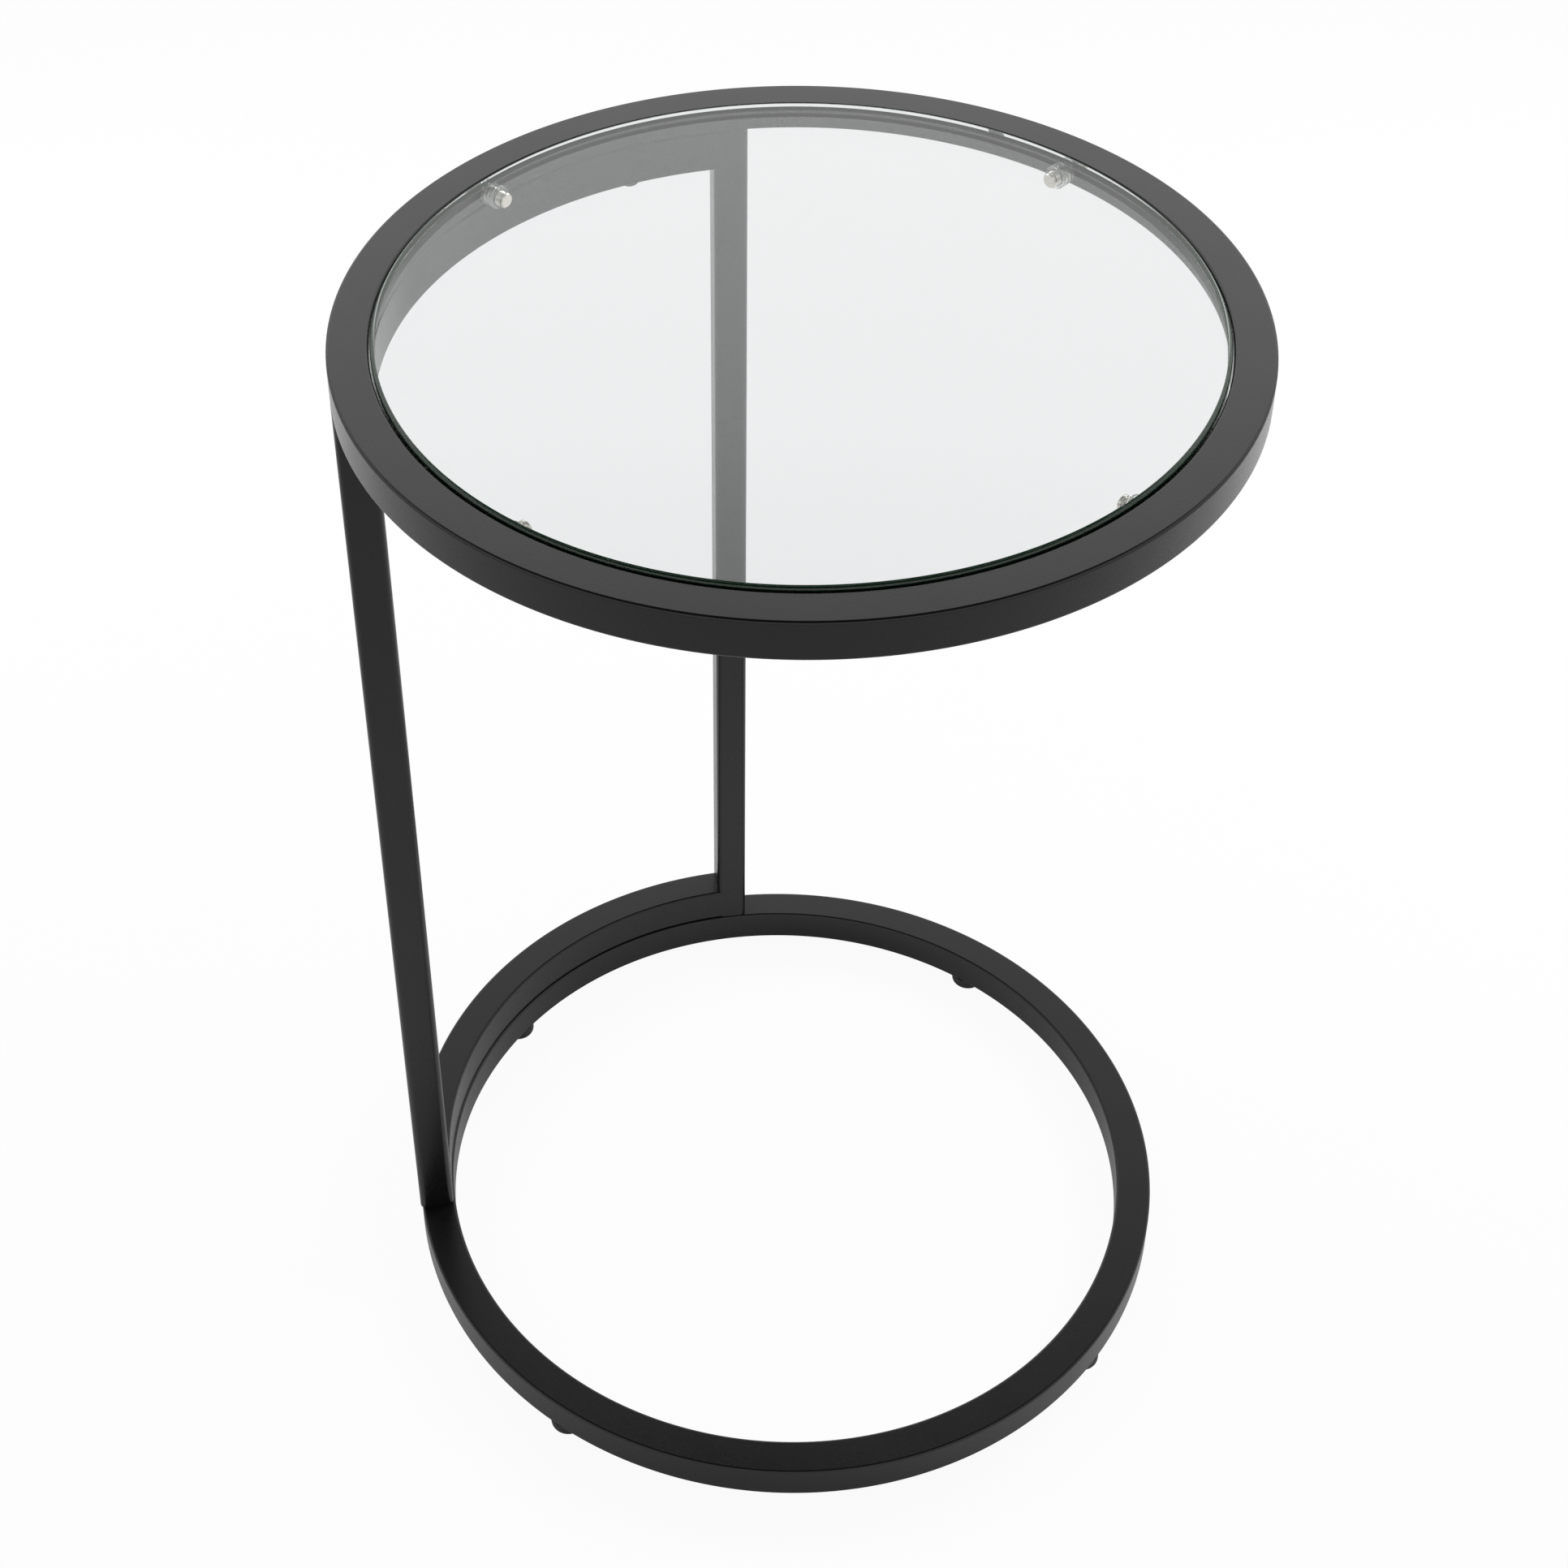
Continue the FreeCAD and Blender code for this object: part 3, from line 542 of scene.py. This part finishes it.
clear = add_node(tree, "ShaderNodeBsdfPrincipled", {"IOR": 1.53, "Transmission Weight": 1.0},
                 {"Base Color": tone.outputs[2], "Roughness": rough.outputs[0],
                  "Normal": wavy.outputs["Normal"]})
tree.links.new(clear.outputs["BSDF"], output.inputs["Surface"])

rib = RIB_WIDTH / 2
sleeve_profile = [(SLEEVE_BORE, 0)]
for i in range(RIB_COUNT):
    middle = rib + (SLEEVE_LENGTH - 2 * rib) * i / (RIB_COUNT - 1)
    if i > 0:
        sleeve_profile += [(SLEEVE_BARREL, middle - rib)]
    sleeve_profile += rounding(rib, (SLEEVE_RIB - rib, middle), -90, 90, 6)
    if i < RIB_COUNT - 1:
        sleeve_profile += [(SLEEVE_BARREL, middle + rib)]
sleeve_profile += [(SLEEVE_BORE, SLEEVE_LENGTH)]
for i, turn in enumerate(PIN_TURNS, start=1):
    sleeve = turned(f"ribbed_sleeve_{i}", sleeve_profile, lying(turn, TOP_INNER - SLEEVE_GAP))
    dress(sleeve, vinyl, "clear_vinyl", f"pin_sleeve_{i}")


# ---- Glass ----
# A loose disc of clear tempered float glass, 403.6 mm across and 10 mm thick, that drops into the top
# ring onto the sleeves and stands 1.5 mm above its rim. Its edge is ground flat with rounded arrises.
GLASS_THICKNESS = 10 * MM
GLASS_RISE = 1.5 * MM
GLASS_GAP = 0.7 * MM
GLASS_ARRIS = 2 * MM
GLASS_TOP = TABLE_TOP + GLASS_RISE
GLASS_RADIUS = TOP_INNER - GLASS_GAP
ARRIS_STEPS = 10
EDGE_TILT = 0.01

# Clear float glass: sharp reflections, and iron in it that takes a little red from what is seen through
# the face. A very faint ripple is left by the rollers of the tempering furnace, about 60 mm apart.
RIPPLE = 60 * MM
RIPPLE_DEPTH = 0.05 * MM
IRON = {"Color": linear("#6cbc92"), "Density": 8.0}
glass, tree, output = new_material("float glass, clear, tempered")
place = add_node(tree, "ShaderNodeTexCoord").outputs["Object"]
ripple = add_node(tree, "ShaderNodeTexNoise", {"Scale": 1 / RIPPLE, "Detail": 0.0}, {"Vector": place})
rough = add_node(tree, "ShaderNodeMapRange", {"To Min": 0.0, "To Max": 0.012},
                 {"Value": ripple.outputs["Fac"]})
roller = add_node(tree, "ShaderNodeBump", {"Strength": 0.05, "Distance": RIPPLE_DEPTH},
                  {"Height": ripple.outputs["Fac"]})
pane = add_node(tree, "ShaderNodeBsdfPrincipled",
                {"IOR": 1.52, "Transmission Weight": 1.0, "Base Color": linear("#eae8eb")},
                {"Roughness": rough.outputs[0], "Normal": roller.outputs["Normal"]})
iron = add_node(tree, "ShaderNodeVolumeAbsorption", IRON)
tree.links.new(pane.outputs["BSDF"], output.inputs["Surface"])
tree.links.new(iron.outputs["Volume"], output.inputs["Volume"])

# The arrises: the grinding wheel leaves a fine haze on them, drawn as a little roughness. Their deep green
# is painted light: an opaque dark green shading, patchy with the haze, stands in for the light that runs
# inside the disc and comes out there. The flat of the edge between them is polished as clear as the face.
WHEEL = 1.2 * MM
edge_glass, tree, output = new_material("float glass, arrises ground round")
place = add_node(tree, "ShaderNodeTexCoord").outputs["Object"]
haze = add_node(tree, "ShaderNodeTexNoise", {"Scale": 1 / WHEEL, "Detail": 2.0}, {"Vector": place})
rough = add_node(tree, "ShaderNodeMapRange", {"To Min": 0.0, "To Max": 0.03},
                 {"Value": haze.outputs["Fac"]})
tone = add_node(tree, "ShaderNodeMix", {6: linear("#123c22"), 7: linear("#245c3c")},
                {0: haze.outputs["Fac"]}, data_type="RGBA")
polish = add_node(tree, "ShaderNodeBsdfPrincipled", {"IOR": 1.52, "Transmission Weight": 1.0},
                  {"Roughness": rough.outputs[0]})
# Painted green light: this opaque green shading makes up 70 % of the arrises' look.
painted_green_glow = add_node(tree, "ShaderNodeBsdfPrincipled", {"IOR": 1.52},
                 {"Base Color": tone.outputs[2], "Roughness": rough.outputs[0]})
both = add_node(tree, "ShaderNodeMixShader", {0: 0.3}, {1: polish.outputs[0], 2: painted_green_glow.outputs[0]})
iron = add_node(tree, "ShaderNodeVolumeAbsorption", IRON)
tree.links.new(both.outputs[0], output.inputs["Surface"])
tree.links.new(iron.outputs["Volume"], output.inputs["Volume"])

flat_radius = GLASS_RADIUS - GLASS_ARRIS
glass_bottom = GLASS_TOP - GLASS_THICKNESS
glass_profile = [(0, glass_bottom), (flat_radius / 2, glass_bottom)]
glass_profile += rounding(GLASS_ARRIS, (flat_radius, glass_bottom + GLASS_ARRIS), -90, 0, ARRIS_STEPS)
glass_profile += rounding(GLASS_ARRIS, (flat_radius, GLASS_TOP - GLASS_ARRIS), 0, 90, ARRIS_STEPS)
glass_profile += [(flat_radius / 2, GLASS_TOP), (0, GLASS_TOP)]
disc = turned("glass_disc", glass_profile, Matrix.Identity(4), RING_STEPS)
dress(disc, glass, "clear_glass", "glass_top", body="glass")
disc.data.materials.append(edge_glass)
for face in disc.data.polygons:
    if face.center.xy.length > flat_radius and abs(face.normal.z) > EDGE_TILT:
        face.material_index = 1

# Clear glass lets the studio's light through to the floor and the frame, so it casts no shadow and
# isn't in the way of the light that they scatter.
disc.visible_shadow = False
disc.visible_diffuse = False


# ---- Floor ----
# A wide pale studio floor in matte paint. It is nearly white to the camera and through the glass, and
# still darkens a little where the table keeps the light off it. What mirrors it shows it a little lighter.
FLOOR_HALF = 12
WHITE_SHARE = 0.94
MIRRORED_SHARE = 0.2
ROLLER = 3 * MM
floor_paint, tree, output = new_material("studio floor, pale, matte paint")
place = add_node(tree, "ShaderNodeTexCoord").outputs["Object"]
roll = add_node(tree, "ShaderNodeTexNoise", {"Scale": 1 / ROLLER, "Detail": 2.0}, {"Vector": place})
shade = add_node(tree, "ShaderNodeMix", {6: linear("#e2e2e2"), 7: linear("#e8e8e8")},
                 {0: roll.outputs["Fac"]}, data_type="RGBA")
ray = add_node(tree, "ShaderNodeLightPath")
straight = add_node(tree, "ShaderNodeMath", {},
                    {0: ray.outputs["Is Camera Ray"], 1: ray.outputs["Is Transmission Ray"]},
                    operation="MAXIMUM")
seen = add_node(tree, "ShaderNodeMath", {1: WHITE_SHARE}, {0: straight.outputs[0]}, operation="MULTIPLY")
mirrored = add_node(tree, "ShaderNodeMath", {1: MIRRORED_SHARE}, {0: ray.outputs["Is Glossy Ray"]},
                    operation="MULTIPLY")
share = add_node(tree, "ShaderNodeMath", {}, {0: seen.outputs[0], 1: mirrored.outputs[0]},
                 operation="MAXIMUM")
matte = add_node(tree, "ShaderNodeBsdfDiffuse", {}, {"Color": shade.outputs[2]})
white = add_node(tree, "ShaderNodeEmission", {"Color": (1, 1, 1, 1), "Strength": 1.0})
both = add_node(tree, "ShaderNodeMixShader", {},
                {0: share.outputs[0], 1: matte.outputs[0], 2: white.outputs[0]})
tree.links.new(both.outputs[0], output.inputs["Surface"])

mesh = bpy.data.meshes.new("studio_floor")
corners = [(-1, -1), (1, -1), (1, 1), (-1, 1)]
mesh.from_pydata([(x * FLOOR_HALF, y * FLOOR_HALF, 0) for x, y in corners], [], [(0, 1, 2, 3)])
mesh.materials.append(floor_paint)
floor = bpy.data.objects.new("studio_floor", mesh)
bpy.context.scene.collection.objects.link(floor)


# ---- Light ----
# A white backdrop all round, which fades out into a dark ceiling between 36 and 50 degrees up, two soft
# boxes behind the table to its left and right, and a large one straight behind, which the coat and the
# glass mirror.
BACKDROP = ((36, 1.0), (43, 0.5), (50, 0.02))
DAYLIGHT = 0.35
world = bpy.data.worlds.new("studio")
world.use_nodes = True
tree = world.node_tree
tree.nodes.clear()
direction = add_node(tree, "ShaderNodeTexCoord").outputs["Generated"]
height = add_node(tree, "ShaderNodeSeparateXYZ", {}, {"Vector": direction}).outputs["Z"]
backdrop = add_node(tree, "ShaderNodeValToRGB", {}, {"Fac": height})
for i, (degrees, value) in enumerate(BACKDROP):
    stops = backdrop.color_ramp.elements
    stop = stops[i] if i < len(stops) else stops.new(1.0)
    stop.position = math.sin(math.radians(degrees))
    stop.color = (value, value, value, 1)
ray = add_node(tree, "ShaderNodeLightPath")
clear = add_node(tree, "ShaderNodeMath", {},
                 {0: ray.outputs["Is Glossy Ray"], 1: ray.outputs["Is Transmission Ray"]},
                 operation="MAXIMUM")
even = add_node(tree, "ShaderNodeMix", {2: DAYLIGHT}, {0: clear.outputs[0], 3: backdrop.outputs["Color"]})
strength = add_node(tree, "ShaderNodeMath", {}, {0: even.outputs[0], 1: ray.outputs["Is Camera Ray"]},
                    operation="MAXIMUM")
studio = add_node(tree, "ShaderNodeBackground", {"Color": (1, 1, 1, 1)}, {"Strength": strength.outputs[0]})
ending = add_node(tree, "ShaderNodeOutputWorld", {}, {"Surface": studio.outputs[0]})
bpy.context.scene.world = world


def soft_box(name, turn, reach, height, width, tall, watts, aim, mirrored):
    """A rectangular soft box at an angle and reach from the table's middle, aimed at a height above it."""
    light = bpy.data.lights.new(name, "AREA")
    light.shape = "RECTANGLE"
    light.size, light.size_y = width, tall
    light.energy = watts
    lamp = bpy.data.objects.new(name, light)
    lamp.location = standing(turn, reach, height).translation
    lamp.rotation_euler = (Vector((0, 0, aim)) - lamp.location).to_track_quat("-Z", "Y").to_euler()
    lamp.visible_camera = False
    lamp.visible_glossy = mirrored
    bpy.context.scene.collection.objects.link(lamp)


soft_box("left soft box", turn=80, reach=1.5, height=1.1, width=0.9, tall=0.9, watts=14, aim=0.4,
         mirrored=False)
soft_box("right soft box", turn=-20, reach=1.5, height=1.1, width=0.9, tall=0.9, watts=20, aim=0.4,
         mirrored=False)
soft_box("back soft box", turn=34, reach=2.5, height=2.15, width=4.0, tall=2.1, watts=17.5, aim=0.64,
         mirrored=True)


# ---- Camera ----
# It looks down at the table from the front left, from 1.1 m away and 1.4 m above the floor, with a
# longer lens than usual and a slightly shifted frame.
camera = bpy.data.objects.new("camera", bpy.data.cameras.new("camera"))
camera.location = (-0.9026, -0.6198, 1.3764)
camera.rotation_euler = [math.radians(a) for a in (50.499, 1.344, -52.308)]
camera.data.sensor_width = 36
camera.data.lens = 63.82
camera.data.shift_x = 0.0975
camera.data.shift_y = -0.1220
bpy.context.scene.collection.objects.link(camera)
bpy.context.scene.camera = camera
bpy.context.scene.view_settings.view_transform = "Standard"
